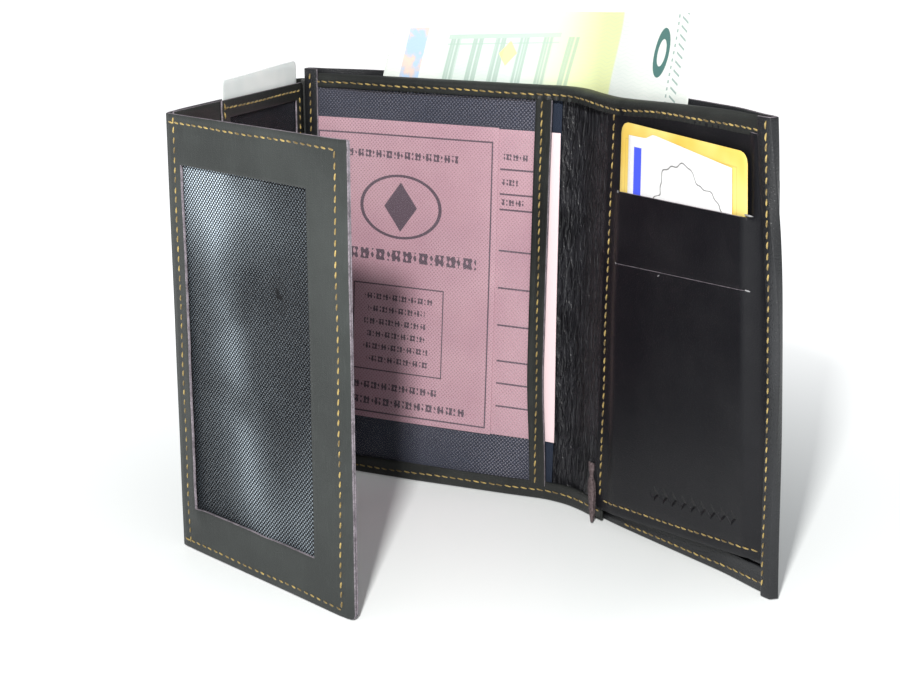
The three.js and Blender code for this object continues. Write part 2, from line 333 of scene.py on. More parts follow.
class Paint:
    def __init__(self, name, roughness=0.5, specular=0.5, sheen=0.0):
        self.material = bpy.data.materials.new(name)
        self.material.use_nodes = True
        self.tree = self.material.node_tree
        self.surface = self.tree.nodes["Principled BSDF"]
        for socket, value in (("Roughness", roughness), ("Specular IOR Level", specular),
                              ("Sheen Weight", sheen)):
            self.surface.inputs[socket].default_value = value

    def add(self, kind, settings, inputs, output=0):
        """Any node: its settings first, then the values or links of its sockets."""
        node = self.tree.nodes.new(kind)
        for name, setting in settings.items():
            setattr(node, name, setting)
        for name, value in inputs.items():
            if isinstance(value, Value):
                self.tree.links.new(value.socket, node.inputs[name])
            else:
                node.inputs[name].default_value = value
        return Value(self, node.outputs[output])

    def where(self):
        return self.add("ShaderNodeTexCoord", {}, {}, "Object")

    def flat(self):
        """The place on the bench, and its s and z in millimetres."""
        place = self.add("ShaderNodeUVMap", {"uv_map": "flat"}, {})
        s = self.add("ShaderNodeSeparateXYZ", {}, {0: place}, 0) * 100
        z = self.add("ShaderNodeSeparateXYZ", {}, {0: place}, 1) * 100
        return place, s, z

    def noise(self, place, scale, detail=3.0, roughness=0.55):
        return self.add("ShaderNodeTexNoise", {}, {
            "Vector": place, "Scale": scale, "Detail": detail, "Roughness": roughness})

    def cloud(self, *settings):
        """Noise that is fixed to the piece."""
        return self.noise(self.where(), *settings)

    def cells(self, place, scale, feature="F1"):
        return self.add("ShaderNodeTexVoronoi", {"feature": feature}, {"Vector": place, "Scale": scale})

    def stretch(self, place, x, y):
        return self.add("ShaderNodeMapping", {}, {"Vector": place, "Scale": (x, y, 1)})

    def mix(self, amount, low, high):
        ends = [(*c, 1) if isinstance(c, tuple) else c for c in (low, high)]
        return self.add("ShaderNodeMix", {"data_type": "RGBA"}, {0: amount, 6: ends[0], 7: ends[1]}, 2)

    def colour(self, amount, low, high):
        self.set("Base Color", self.mix(amount, low, high))

    def bump(self, height, distance):
        normal = self.add("ShaderNodeBump", {}, {"Height": height, "Distance": distance})
        self.set("Normal", normal)

    def set(self, name, value):
        self.tree.links.new(value.socket, self.surface.inputs[name])


def leather(name, dark, light, roughness, grain, depth, streak=0.3, specular=0.4, stamp=None):
    """Dyed leather: pores and fine grain, cloudy dye, brushed lines, and a varied polish."""
    paint = Paint(name, roughness=roughness, specular=specular)
    place = paint.where()
    bench, s, z = paint.flat()
    cloud = paint.noise(place, 38, 4)
    pores = paint.cells(place, grain)
    fine = paint.noise(place, grain * 1.7, 3, 0.6)
    lines = paint.noise(paint.stretch(bench, 260, 14), 1.0, 4, 0.62)
    specks = paint.noise(place, grain * 0.8, 2, 0.5)
    colour = paint.mix(cloud.fade(0.3, 0.75), dark, light)
    colour = paint.mix(lines.fade(0.52, 0.75) * streak, colour, tuple(c * 1.6 for c in light))
    colour = paint.mix(specks.fade(0.72, 0.8) * 0.4, colour, tuple(min(1, c * 4) for c in light))
    height = pores.fade(0.0, 0.55) * 0.6 + fine * 0.5 + lines * streak
    if stamp:
        height = height - stamp(s, z) * 9
    paint.set("Base Color", colour)
    paint.set("Roughness", cloud * 0.2 + fine * 0.14 + lines * 0.1 + (roughness - 0.2))
    paint.bump(height, depth)
    return paint.material


raw_paint = Paint("raw leather edge", roughness=0.85, specular=0.25)
raw_fibres = raw_paint.cloud(2000, 4, 0.7)
raw_layers = raw_paint.cloud(300, 2)
raw_paint.colour(
    raw_fibres.fade(0.3, 0.7) * 0.6 + raw_layers.fade(0.3, 0.7) * 0.4,
    (0.07, 0.06, 0.07), (0.34, 0.3, 0.34))
raw_paint.bump(raw_fibres, 0.00015)
raw_edge = raw_paint.material
shell_leather = leather("shell leather", (0.008, 0.0085, 0.01), (0.018, 0.019, 0.022),
                        0.4, 1500, 0.00014, 0.1)


def edge_right(z):
    """Where the free edge of the front cover starts to turn: it swells a little at its middle."""
    return 101.4 + 1.4 * (1 - z / 142) + 2.0 * bell(z - 80, 50)


def turn_in(past, face):
    """Rolls the sheet inwards past an edge: how far it still reaches, and its depth."""
    angle = past / EDGE_ROLL
    if angle < math.pi:
        return EDGE_ROLL * math.sin(angle), face - EDGE_ROLL * (1 - math.cos(angle))
    return math.pi * EDGE_ROLL - past, STRIP_FACE


def fold_shell(s, t, z):
    first, last = -BACK_WIDTH + 2, edge_right(z)
    press = SEWN_FACE / SHELL_FACE
    face = SHELL_FACE + 0.4 * ripple(s, z, 34, 3) * ease((s - first) / 20) * ease((last - s) / 20)
    if s < first:
        reach, depth = turn_in(first - s, SEWN_FACE)
        return first - reach, depth / press, z
    if s > last:
        reach, depth = turn_in(s - last, SEWN_FACE)
        return last + reach, depth / press, z
    return s, face, z


shell = bench_sheet("outer_shell", (-BACK_WIDTH - 5.4, FRONT_WIDTH + 4.2), (0.1, COVER_HEIGHT), 0, 1.6)
shape(shell, fold_shell)
fit(shell, cover_path, 0.9, 0.3, "shell_leather", shell_leather, raw_edge)
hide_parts("shell_back", "shell_spine", "shell_front", "left_bar")


def across_spine(piece):
    """Fixes a piece that lies across the spine where it was laid, attached to neither cover."""
    start, end = cover_path(-11, 0, 70), cover_path(11, 0, 70)
    on_table(start.x, start.y, 70)
    on_table(end.x, end.y, 70)
    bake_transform(piece)


across_spine(shell)

# ---- Shell hem ----
# The lower edge of the shell is turned up inside as a narrow lip. It shows below the card
# panel, which stands clear of it there.
shell_lip = bench_sheet("shell_hem", (-101, 103.3), (0.1, 8.6), 0, 1.3)


def lip_form(s, t, z):
    top = 4.6 + 3.4 * ease((s - 30) / 70)
    level_ = 0.1 + (z - 0.1) * (top - 0.1) / 8.5 + 0.3 * ripple(s, 0, 12) * ease(z / 8)
    face = SHELL_FACE - (1.05 + 0.2 * bell(z / 8.5 - 0.4, 0.15)) / pressed(s, 2)
    return s, face, level_


shape(shell_lip, lip_form)
fit(shell_lip, cover_path, 0.6, 0.2, "shell_leather", shell_leather)
across_spine(shell_lip)

# ---- Thread ----
# Waxed ochre thread, lock-stitched about eight to the inch. Each seam is one stitch,
# repeated along its line, with both ends of every stitch drawn down into the leather.
STITCH_PITCH, STITCH_LENGTH, THREAD_WIDTH = 3.0, 2.6, 0.6


def thread_paint(name, dark, light):
    paint = Paint(name, roughness=0.5, specular=0.45, sheen=0.2)
    place = paint.where()
    strands = paint.noise(place, 3000, 2)
    shade = paint.noise(place, 330, 2)
    paint.colour(shade.fade(0.35, 0.68), dark, light)
    paint.bump(strands, 0.00015)
    return paint.material


ochre_thread = thread_paint("ochre thread", (0.13, 0.085, 0.022), (0.42, 0.3, 0.09))
grey_thread = thread_paint("grey thread", (0.16, 0.16, 0.17), (0.38, 0.38, 0.39))


def seam_line(start, end, slant=9, inner=True):
    """One straight run of stitches on the bench, from start to end (s, z)."""
    run = Vector(end) - Vector(start)
    count = max(1, round(run.length / STITCH_PITCH))
    bpy.ops.object.select_all(action="DESELECT")
    bpy.ops.mesh.primitive_uv_sphere_add(segments=8, ring_count=6, radius=0.5,
                                         rotation=(0, math.pi / 2, 0))
    stitch = bpy.context.object
    bpy.ops.object.transform_apply(rotation=True)
    for vertex in stitch.data.vertices:
        x, y, z = vertex.co * 2
        drawn_down = (0.34 if inner else -0.34) * abs(x) ** 3
        vertex.co = (x * STITCH_LENGTH / 2, y * THREAD_WIDTH / 2 + drawn_down, z * THREAD_WIDTH / 2)
    stitch.rotation_euler = (0, math.radians(slant), 0)
    bpy.ops.object.transform_apply(rotation=True)
    repeat = stitch.modifiers.new("repeat", "ARRAY")
    repeat.count = count
    repeat.use_relative_offset = False
    repeat.use_constant_offset = True
    repeat.constant_offset_displace = (run.length / count, 0, 0)
    bpy.ops.object.modifier_apply(modifier="repeat")
    each = len(stitch.data.vertices) // count
    for index, vertex in enumerate(stitch.data.vertices):
        number = index // each
        vertex.co.z += 0.12 * math.sin(number * 12.9898)
        vertex.co.x += 0.12 * math.sin(number * 78.233)
    step = run / count
    stitch.rotation_euler = (0, -math.atan2(run.y, run.x), 0)
    stitch.location = (start[0] + step.x / 2, 0, start[1] + step.y / 2)
    bpy.ops.object.transform_apply(location=True, rotation=True)
    return stitch


def sew(name, lines, depth, path, nodes=(), body=None, blend=None, inner=True, thread=None):
    """Sews runs of stitches on a leather whose face lies at depth(s, z), as one piece."""
    runs = [seam_line(*line, inner=inner) for line in lines]
    bpy.ops.object.select_all(action="DESELECT")
    for run in runs:
        run.select_set(True)
    bpy.context.view_layer.objects.active = runs[0]
    if len(runs) > 1:
        bpy.ops.object.join()
    piece = bpy.context.object
    piece.name = piece.data.name = name
    shape(piece, lambda s, t, z: (s, depth(s, z) + t, z))
    lay(piece, path)
    dress(piece, "gold_thread", thread or ochre_thread)
    bpy.ops.object.shade_smooth()
    if nodes:
        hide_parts(*nodes)
    if blend:
        blend(piece)
    else:
        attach(piece, body)
    return piece


def strip_depth(s, z):
    return STRIP_FACE - 0.9


def lip_depth(s, z):
    return SHELL_FACE - 1.32 / pressed(s, 2)


def shell_outside(s, z):
    swell = 0.4 * ripple(s, z, 34, 3) * ease((s + 102) / 20) * ease((102 - s) / 20)
    return SHELL_FACE + 0.92 / pressed(s, z) + swell


sew("thread_right_edge",
    [((100.9, 3), (103.2, 60)), ((103.2, 60), (103.2, 96)), ((103.2, 96), (101.9, 141.4))],
    strip_depth, cover_path, body="front_cover")
sew("thread_left_edge", [((-101.3, 3), (-101.3, 141))], strip_depth, cover_path, body="back_cover")
sew("thread_shell_hem", [((33, 1.6), (100.2, 3.0))], lip_depth, cover_path,
    ["thread_shell_hem"], "front_cover")
sew("thread_outside", [((-101, 3), (-101, 139)), ((-101, 139), (100, 139)), ((100, 139), (100.5, 3)),
                       ((100.5, 3), (-101, 3))], shell_outside, cover_path, blend=across_spine, inner=False)

# ---- Lining of the banknote pocket ----
# Thin black twill, glued inside the shell. It shows only from above, behind the banknote.
lining_paint = Paint("lining twill", roughness=0.85, specular=0.12)
_, twill_s, twill_z = lining_paint.flat()
twill = ((twill_s + twill_z) * 9).wave()
lining_paint.colour(
    twill.fade(-0.4, 0.6), (0.006, 0.006, 0.007), (0.02, 0.021, 0.024))
lining_paint.bump(twill, 0.00008)
lining_twill = lining_paint.material

lining = bench_sheet("pocket_lining", (-99, 98), (3, 140.2), SHELL_FACE - 0.35, 3)
fit(lining, cover_path, 0.2, 0.05, "lining_fabric", lining_twill)
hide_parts("lining_back", "lining_spine", "lining_front")
across_spine(lining)

# ---- Divider ----
# Soft grained leather between the banknote pocket and the inner pockets. It shows at the
# spine, where it lies loose in long upright creases.
grain_paint = Paint("grained leather", roughness=0.36, specular=0.4)
grain_flat, grain_s, grain_z = grain_paint.flat()
folds = grain_paint.noise(grain_paint.stretch(grain_flat, 40, 11), 1.0, 3, 0.5)
ridges = 1 - ((folds - 0.5).size() * 7).fade(0, 1)
pebbles = grain_paint.cells(grain_paint.stretch(grain_flat, 1.0, 0.55), 150, "DISTANCE_TO_EDGE")
grain_cloud = grain_paint.noise(grain_flat, 9, 4)
grain_paint.colour(
    grain_cloud.fade(0.3, 0.7), (0.009, 0.009, 0.011), (0.02, 0.02, 0.024))
grain_paint.set("Roughness", grain_cloud * 0.2 + 0.28)
grain_paint.bump(ridges * 0.9 + pebbles.fade(0, 0.25) * 0.1, 0.0005)
grained_leather = grain_paint.material


def divider_depth(s):
    """Deep behind the document, rising to the seam of the card panel, deep behind the cards."""
    return 3.3 + 1.0 * bell(s + 1, 7) - 1.9 * ease((s - 4) / 19) + 1.3 * ease((s - 30) / 25)


def crease(s, t, z):
    loose = ease((s + 12) / 7) * ease((27 - s) / 8)
    wander = 3.2 * ripple(s, z, 34, 5) + 0.06 * (z - 90) * bell(s + 2, 9)
    fold = math.sin((s + wander) * 1.25) * 0.34 * (0.5 + 0.9 * ripple(s, z, 30, 6))
    foot = 5.2 * ease((s - 24) / 8) * (1 - (z - 4.2) / 135)
    return s, divider_depth(s) + loose * fold, z + foot


divider = bench_sheet("divider", (-98, 100.4), (4.2, 139.2), 0, 1.2)
shape(divider, crease)
fit(divider, cover_path, 0.8, 0.2, "grained_leather", grained_leather)
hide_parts("divider_back", "divider_spine", "divider_front")
across_spine(divider)

# ---- Document pocket ----
# Navy cloth behind the document, held at its edges under the leather frame.
navy_paint = Paint("navy pocket cloth", roughness=0.55, specular=0.3)
_, navy_s, navy_z = navy_paint.flat()
weave = (navy_s * 11).wave() * (navy_z * 11).wave()
navy_cloud = navy_paint.cloud(60, 3)
navy_paint.colour(
    weave.fade(-0.5, 0.7) * 0.6 + navy_cloud * 0.4, (0.006, 0.01, 0.022), (0.022, 0.033, 0.06))
navy_paint.bump(weave, 0.00008)
navy_cloth = navy_paint.material

pocket = bench_sheet("document_pocket", (-101, -3), (3, 138.2), 2.8, 3)
shape(pocket, lambda s, t, z: (s - 1.9 * z / 135 * ease((s + 60) / 50), t, z))
fit(pocket, cover_path, 0.2, 0.05, "navy_fabric", navy_cloth)
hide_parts("document_pocket_back")
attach(pocket, "back_cover")

# ---- Document ----
# A folded sheet of pink card: a front page of 74 x 106 mm, and a second page that reaches out
# at the open side of the pocket. Its print is made of plain rules, boxes and rows of marks.
PAGE_LEFT, PAGE_RIGHT, SECOND_RIGHT = -100.3, -26.6, -4.7
PAGE_FOOT, PAGE_HEAD = 20.0, 125.9


def row_of_marks(s, z, left, right_, level_, height, size, share):
    """A row of small dark marks, like a line of small print."""
    row = s.between(left, right_) * z.between(level_ - height / 2, level_ + height / 2)
    marks = (s * size).wave() + (s * size * 0.37 + level_).wave() * 0.8
    strokes = (z * (9 / height) + s * 0.7).wave() * 0.6
    return row * (marks + strokes).above(share)


def box_rule(s, z, left, right_, foot, head, width):
    outer = s.between(left, right_) * z.between(foot, head)
    inner = s.between(left + width, right_ - width) * z.between(foot + width, head - width)
    return outer - inner


def front_print(s, z):
    ink = box_rule(s, z, -98.2, -28.6, 21.9, 121.2, 0.55)
    across, down = s + 64.2, z - 96.3
    ink = ink + (across * across / 253 + down * down / 119).between(0.9, 1.06)
    ink = ink + (across.size() / 6.6 + down.size() / 8.6).below(1)
    ink = ink + box_rule(s, z, -82.7, -46.2, 37.3, 68.6, 0.45)
    for row in ((-92, -41.8, 114.2, 2.5, 4.4, 0.0), (-92, -33.9, 79.0, 3.8, 2.9, -0.2),
                (-82, -48, 31.8, 2.4, 4.4, 0), (-88, -36, 26.2, 2.6, 4.0, 0)):
        ink = ink + row_of_marks(s, z, *row)
    for level_ in (64, 59.5, 55, 50.5, 46, 41.5):
        ink = ink + row_of_marks(s, z, -79 + (level_ % 3), -50 - (level_ % 4), level_, 2.0, 4.9, 0.1)
    return ink


def second_print(s, z):
    side = s.between(PAGE_RIGHT, -12.6)
    ink = s * 0
    for level_ in (112.2, 103.9, 98.7, 84.7, 71.9, 59, 46.5, 38.6, 30.5):
        ink = ink + side * z.between(level_ - 0.3, level_ + 0.3)
    for level_ in (116.4, 107.9, 101.2):
        ink = ink + row_of_marks(s, z, -25.8, -16 - level_ % 4, level_, 2.0, 5.2, 0.0)
    return ink


def pink_card(name, print_rule):
    paint = Paint(name, roughness=0.55, specular=0.35)
    _, s, z = paint.flat()
    ink = print_rule(s, z)
    cloud = paint.cloud(26, 3)
    fibre = paint.cloud(1500, 3)
    paper = paint.mix(cloud.fade(0.3, 0.7), (0.42, 0.235, 0.285), (0.5, 0.3, 0.345))
    paper = paint.mix(fibre.fade(0.5, 0.8) * 0.2, paper, (0.7, 0.5, 0.54))
    paper = paint.mix(s.fade(-13, -10.5) * 0.8, paper, (0.86, 0.7, 0.72))
    paint.colour(ink.fade(0, 1) * 0.88, paper, (0.035, 0.025, 0.04))
    paint.bump(fibre, 0.00002)
    return paint.material


front_page = bench_sheet("document_front_page", (PAGE_LEFT, PAGE_RIGHT), (PAGE_FOOT, PAGE_HEAD), 0, 3)
shape(front_page, lambda s, t, z: (s + 0.008 * (70 - z), 1.62 + 0.12 * ripple(s, z, 45, 2), z))
fit(front_page, cover_path, 0.22, 0.05, "pink_paper", pink_card("pink front page", front_print))
second_page = bench_sheet("document_second_page", (PAGE_LEFT, SECOND_RIGHT),
                          (PAGE_FOOT + 0.2, PAGE_HEAD - 0.4), 0, 3)
shape(second_page, lambda s, t, z: (s + 0.019 * (126 - z), 2.05 + 0.08 * ripple(s, z, 45, 4), z))
fit(second_page, cover_path, 0.3, 0.06, "pink_paper", pink_card("pink second page", second_print))
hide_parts("document")
for page in (front_page, second_page):
    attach(page, "document")

# ---- Window net ----
# Clear woven net with small knots in slanting rows, about 1.2 mm apart. Its glossy knots are
# all that shows of it. The same net closes the document window and the leaves' pockets.
KNOT_PITCH = 1.35


def knots(s, z, share):
    one = ((s + z) * (math.pi / KNOT_PITCH)).wave()
    other = ((s - z) * (math.pi / KNOT_PITCH)).wave()
    return (one * other).size().fade(share, share + 0.3)


def net_paint(name, dark, light, share, strength, tone_and_highlight_rule):
    """Knots between the colours dark and light as the given rule of (s, z, noise) says, clear between them.
    The rule gives random tone, and on the leaf window painted highlights too.
    """
    paint = Paint(name, roughness=0.35, specular=0.5)
    _, s, z = paint.flat()
    knot = knots(s, z, share)
    # Knot colour and alpha follow the rule: random tone, and on the leaf window painted highlights.
    bright = tone_and_highlight_rule(s, z, paint.cloud(24, 2))
    paint.colour(bright, dark, light)
    paint.set("Alpha", knot * (bright * 0.4 + 0.6) * strength + 0.02)
    return paint.material


def even_shine(s, z, cloud):
    return cloud.fade(0.35, 0.65)


document_net_paint = net_paint("document window net", (0.38, 0.36, 0.42), (0.5, 0.47, 0.54),
                               0.45, 0.15, even_shine)
document_net = bench_sheet("document_window_net", (-101.5, -9.2), (3, 138.2), 1.05, 2.5)
shape(document_net, lambda s, t, z: (s, t + 0.1 * ripple(s, z, 30, 8), z))
fit(document_net, cover_path, 0.06, 0.01, "window_mesh", document_net_paint)
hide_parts("document_window_mesh")
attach(document_net, "back_cover")

# ---- Frame of the document window ----
# Smooth leather strips round the net: a hem along the foot that runs on across the spine to
# the card panel, and the strip at the mouth of the pocket.
dark_leather = leather("dark smooth leather", (0.011, 0.012, 0.0115), (0.023, 0.025, 0.0235),
                       0.44, 2400, 0.00007, 0.4)


def hem_depth(s, z):
    groove = 0.18 * bell(z - 2.3, 0.7)
    return 0.15 + groove + 1.7 * ease((s + 2) / 16) + 0.1 * ripple(s, z, 14, 9)


foot_hem = bench_sheet("bottom_hem", (-101.5, 23.5), (0.15, 5.9), 0, 1.1)
shape(foot_hem, lambda s, t, z: (
    s, hem_depth(s, z), z + (0.3 * ripple(s, 0, 22, 1) + 0.8 * bell(s - 8, 12)) * z / 5))
fit(foot_hem, cover_path, 0.8, 0.25, "smooth_leather", dark_leather)
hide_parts("bottom_hem_back")
across_spine(foot_hem)


def mouth_seam(z):
    return -8.0 - 2.0 * ease(z / 50) - z / 135


def mouth_place(s, z):
    return s + 10.4 + mouth_seam(z) + 0.15 * ripple(s, z, 25, 4)


def mouth_depth(s, z):
    return 0.05 + 0.2 * bell(s - mouth_seam(z), 0.7) - 0.25 * ease((s + 9) / 4)


mouth = bench_sheet("mouth_strip_leather", (-12.6, -6.7), (4.6, 136.8), 0, 0.9)
shape(mouth, lambda s, t, z: (mouth_place(s, z), mouth_depth(mouth_place(s, z), z), z))
fit(mouth, cover_path, 0.85, 0.22, "smooth_leather", dark_leather, raw_edge)
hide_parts("mouth_strip")
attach(mouth, "back_cover")

sew("thread_mouth", [((mouth_seam(5), 5), (mouth_seam(136), 136))], lambda s, z: 0.05, cover_path,
    ["thread_document_frame"], "back_cover")
sew("thread_bottom_hem", [((-100, 2.3), (22, 3.3))], lambda s, z: hem_depth(s, z) - 0.1, cover_path,
    blend=across_spine)

# ---- Top band ----
# A strip of smooth leather folded over the top of the divider and of everything in front of
# it, sewn through. It dips and puckers where it turns at the spine.
BAND_FOOT, BAND_TOP = 136.2, 140.85
band = bench_sheet("top_band", (-100.5, 99.5), (0, 13.2), 0, 0.9)


def band_dip(s):
    return -1.5 * bell(s - 25, 17)


def band_face(s, level_):
    """Depth of the band's inner face, with its puckers below the seam."""
    seam = BAND_TOP - 2.9 + band_dip(s)
    puckered = bell(s + 4, 12) + 0.25
    pucker = puckered * 0.32 * math.sin(s * 2.2 + 0.5 * math.sin(s)) * ease((seam - level_ + 0.5) / 1.4)
    behind_cards = 0.6 * ease((s - 26) / 5) + 0.024 * max(0, s - 30)
    under_strip = 0.3 * ease((s - 95) / 4) + 0.9 * ease((-s - 96) / 3)
    return -0.15 + behind_cards + under_strip + 0.2 * bell(level_ - seam, 0.6) + pucker


def fold_band(s, t, z):
    """The strip climbs the inner face, turns over the top and comes down behind."""
    back_face = max(divider_depth(s), divider_depth(70) * ease((s + 30) / 10)) + 1.5
    radius = (back_face + 0.15) / 2
    top = BAND_TOP + band_dip(s) * 0.6 + 1.2 * ease((s - 40) / 50)
    foot = BAND_FOOT + band_dip(s) + 0.3 * ripple(s, 0, 16, 12)
    climb = top - radius * 0.9 - foot
    if z < climb:
        return s, band_face(s, foot + z), foot + z
    angle = min((z - climb) / (radius * 1.25), math.pi)
    over = max(z - climb - math.pi * radius * 1.25, 0)
    inner = band_face(s, foot + climb)
    middle = (inner + back_face) / 2
    depth = middle - (back_face - inner) / 2 * math.cos(angle)
    return s, depth, foot + climb + radius * 0.9 * math.sin(angle) - over


shape(band, fold_band)
fit(band, cover_path, 0.75, 0.2, "smooth_leather", dark_leather)
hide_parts("top_band_back", "top_band_spine", "top_band_front")
across_spine(band)

band_seam = sew("thread_top_band", [((-100, 137.95), (97.2, 137.95))],
                lambda s, z: band_face(s, z + band_dip(s)) - 0.15, cover_path, blend=across_spine)
for vertex in band_seam.data.vertices:
    along = (vertex.co.x / MM - SPINE.x) / 0.87
    vertex.co.z += band_dip(along) * MM

# ---- Card panel ----
# Glazed near-black leather with two slits for cards. Above the upper slit it lies back behind
# the yellow card; below it, it stands over the cards. A row of plain lozenges is stamped low.
PANEL_LEFT, PANEL_RIGHT = 21.6, 103.0
SLIT_LEFT, SLIT_RIGHT = 30.5, 95.1
UPPER_SLIT, LOWER_SLIT = 112.6, 90.6
NEAR = 0.01                            # a vertex this close to a slit lies on it


def lozenges(s, z):
    """A stamped row of nine plain lozenges."""
    place = (s - 50.4).part(4.45)
    inside = 1.3 - (place - 2.2).size() / 1.95 - (z - 19.4).size() / 2.1
    return inside.fade(0, 0.7) * s.between(50.4, 90.4)


card_leather = leather("glazed card leather", (0.005, 0.005, 0.007), (0.01, 0.01, 0.012), 0.4, 2100,
                       0.00007, 0.2, 0.24, lozenges)


def panel_tilt(s, z):
    """Its slits and its foot rise towards the free side, its top edge does not."""
    rise = 5.6 - 2.0 * z / 90 if z < 90 else 3.7 - 3.7 * ((z - 90) / 46)
    return rise * (s - 62) / 67


def panel_depth(s, z, lower=True):
    across = ease((s - SLIT_LEFT + 3.6) / 5) * ease((SLIT_RIGHT + 2.4 - s) / 5)
    lift = -1.7 * across * (0.4 + 0.6 * ease(z / 75))
    if not lower:
        lift = (0.55 + 0.024 * max(0, s - 30)) * across
    foot = 0.5 * ease((14 - z) / 12)
    seams = 0.2 * bell(s - 24.3, 0.8) + 0.22 * bell(z - 10.6, 0.8) * ease((98 - s) / 3)
    under_strip = 1.7 * ease((s - 96.5) / 3.5)
    return lift + foot + seams + under_strip + 0.25 * ripple(s, z, 30, 14)


def clear_choice(kind):
    """Leaves nothing chosen on the newest piece, ready to choose edges or faces of it."""
    bpy.ops.object.mode_set(mode="EDIT")
    bpy.ops.mesh.select_mode(type=kind)
    bpy.ops.mesh.select_all(action="DESELECT")
    bpy.ops.object.mode_set(mode="OBJECT")


panel = bench_sheet("card_panel_leather", (PANEL_LEFT, PANEL_RIGHT), (7.6, 137.2), 0, 1.1,
                    lines_s=(24.3, SLIT_LEFT, SLIT_RIGHT), lines_z=(10.6, LOWER_SLIT, UPPER_SLIT))
clear_choice("EDGE")
for edge in panel.data.edges:
    one, other = (panel.data.vertices[i].co for i in edge.vertices)
    on_slit = any(abs(one.z - slit) < NEAR and abs(other.z - slit) < NEAR
                  for slit in (LOWER_SLIT, UPPER_SLIT))
    first, last = min(one.x, other.x), max(one.x, other.x)
    edge.select = on_slit and SLIT_LEFT - NEAR < first and last < SLIT_RIGHT + NEAR
bpy.ops.object.mode_set(mode="EDIT")
bpy.ops.mesh.edge_split(type="EDGE")
bpy.ops.object.mode_set(mode="OBJECT")
upper_side = set()
for face in panel.data.polygons:
    if face.center.z > UPPER_SLIT or LOWER_SLIT < face.center.z < UPPER_SLIT - 6:
        upper_side.update(face.vertices)
lips = [(vertex.co.copy(), vertex.index in upper_side) for vertex in panel.data.vertices]
for vertex, (flat_place, is_upper) in zip(panel.data.vertices, lips):
    s, _, z = flat_place
    behind_card = z > UPPER_SLIT + NEAR or (is_upper and abs(z - UPPER_SLIT) < NEAR)
    depth = panel_depth(s, z, lower=not behind_card)
    if abs(z - LOWER_SLIT) < 1.2:
        across = ease((s - SLIT_LEFT) / 3) * ease((SLIT_RIGHT - s) / 3)
        depth += across * (0.2 if is_upper and z < LOWER_SLIT + NEAR or z > LOWER_SLIT + NEAR else -0.1)
    vertex.co = (s, depth, z + panel_tilt(s, z))
fit(panel, cover_path, 0.6, 0.14, "card_leather", card_leather, raw_edge)
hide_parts("card_panel")
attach(panel, "front_cover")

for name, node, span in (("upper_slot_cloth", "upper_slot_lining", (50, 110)),
                         ("lower_slot_cloth", "lower_slot_lining", (18, 88))):
    slot_cloth = bench_sheet(name, (30.5, 95), span, 2.2 if span[0] > 20 else 2.4, 4)
    lay(slot_cloth, cover_path)
    thicken(slot_cloth, 0.12, 0.03)
    dress(slot_cloth, "lining_fabric", lining_twill)
    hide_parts(node)
    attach(slot_cloth, "front_cover")


def panel_face(s, z):
    return panel_depth(s, z - panel_tilt(s, z)) - 0.12


sew("thread_card_panel",
    [((24.0, 9.2), (24.3, 90)), ((24.3, 90), (25.2, 135.4)), ((25.4, 8.0), (98.6, 13.6))],
    panel_face, cover_path, ["thread_card_panel"], "front_cover")
sew("thread_slit_tacks", [((29.7, 111.4), (31.2, 111.4)), ((94.4, 114.0), (95.9, 114.0)),
                          ((29.8, 88.9), (31.4, 88.9)), ((94.4, 92.3), (95.8, 92.3)),
                          ((52.5, 88.2), (55.0, 90.2))],
    lambda s, z: panel_face(s, z) + 0.25, cover_path, body="front_cover", thread=grey_thread)

# ---- Yellow card and paper tag ----
# A pale yellow card stands in the upper slit. In front of it stands a white paper tag with a
# blue stripe and a thin outline of a hide.
card_paint = Paint("yellow card", roughness=0.35, specular=0.5)
card_cloud = card_paint.cloud(60, 2)
_, card_s, card_z = card_paint.flat()
card_rule = box_rule(card_s, card_z, 33.4, 89.4, 60, 128.6, 0.4)
card_colour = card_paint.mix(card_cloud.fade(0.3, 0.7), (0.78, 0.53, 0.1), (0.85, 0.68, 0.22))
card_paint.colour(card_rule * 0.4, card_colour, (0.55, 0.36, 0.1))


def round_off(s, z, radius):
    """A rule that rounds the corners of a sheet between these edges."""
    def move(x, t, y):
        centre_x = min(max(x, s[0] + radius), s[1] - radius)
        centre_y = min(max(y, z[0] + radius), z[1] - radius)
        away = Vector((x - centre_x, y - centre_y))
        if away.x and away.y:
            away *= max(abs(away.x), abs(away.y)) / away.length
        return (centre_x + away.x, t, centre_y + away.y)
    return move


yellow = bench_sheet("yellow_card_sheet", (31.0, 94.0), (57, 133.3), 0, 1.6)
shape(yellow, round_off((31.0, 94.0), (57, 133.3), 3.4))
shape(yellow, lambda s, t, z: (s, -0.85 + 0.009 * (s - 30), z - 1.7 * max(0, (s - 36) / 57)))
fit(yellow, cover_path, 0.3, 0.1, "yellow_card", card_paint.material)
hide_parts("yellow_card")
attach(yellow, "yellow_card")

tag_paint = Paint("printed paper tag", roughness=0.5, specular=0.4)
_, tag_s, tag_z = tag_paint.flat()
tag_fibre = tag_paint.cloud(1200, 3)
stripe = tag_s.between(38.6, 42.6) * tag_z.between(72, 127.6)
hide_s, hide_z = (tag_s - 66.5) / 19, (tag_z - 107.5) / 17
hide_angle = tag_paint.add("ShaderNodeMath", {"operation": "ARCTAN2"}, {0: hide_z, 1: hide_s})
hide_radius = (hide_s * hide_s + hide_z * hide_z).maths("SQRT")
hide_edge = ((hide_angle * 4 + 0.4).wave() * 0.1 + (hide_angle * 9).wave() * 0.05
             + (hide_angle * 23).wave() * 0.02 + 0.98)
hide_line = (hide_radius - hide_edge).size().below(0.013)
tag_colour = tag_paint.mix(tag_fibre.fade(0.4, 0.8), (0.78, 0.78, 0.79), (0.84, 0.84, 0.84))
tag_colour = tag_paint.mix(stripe, tag_colour, (0.07, 0.11, 0.8))
tag_paint.colour(hide_line * 0.85, tag_colour, (0.12, 0.12, 0.12))

tag = bench_sheet("paper_tag_sheet", (35.5, 88.0), (70, 131), -1.05, 1.6)


